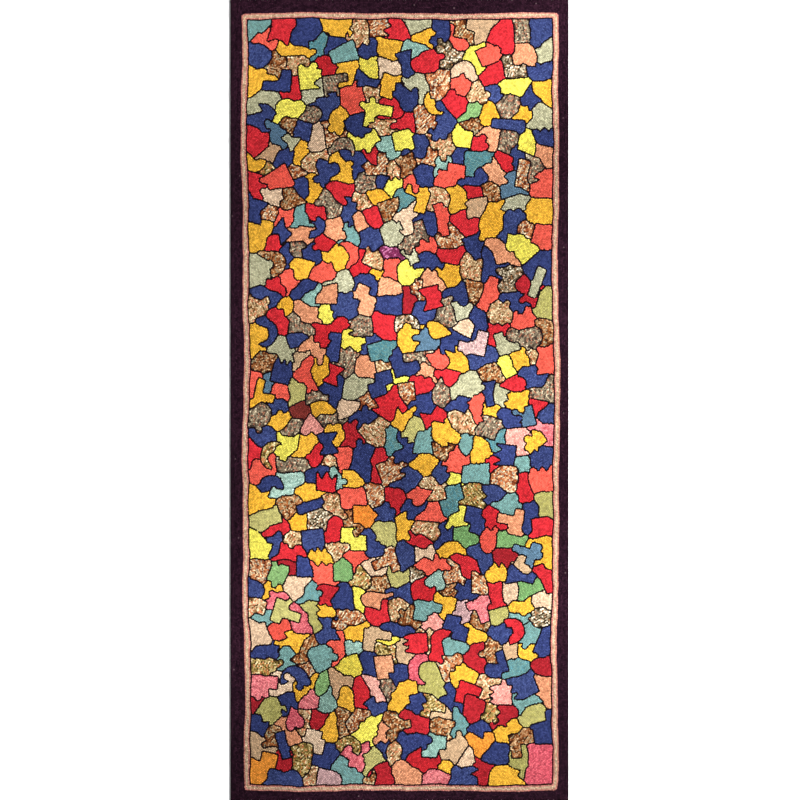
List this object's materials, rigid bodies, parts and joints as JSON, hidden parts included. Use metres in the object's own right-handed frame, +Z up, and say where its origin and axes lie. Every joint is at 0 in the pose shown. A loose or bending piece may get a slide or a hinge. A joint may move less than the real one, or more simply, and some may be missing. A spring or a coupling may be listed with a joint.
{
  "type": "hooked rug",
  "caption": "Long flat hooked rug with a multicoloured patchwork field of yarn loops outlined in black, a tan inner band and a dark outer margin.",
  "frame": {"origin": "centre of the flat underside, on the floor", "axes": "+Y along the rug's length, +X across its width, +Z up out of the pile"},
  "size_m": [0.965, 2.286, 0.0084],
  "materials": {
    "hooked_yarn": "matt looped wool and cotton yarn in many colours, on a plain woven foundation"
  },
  "bodies": {
    "root": {"rug": "hooked_yarn"}
  },
  "joints": []
}
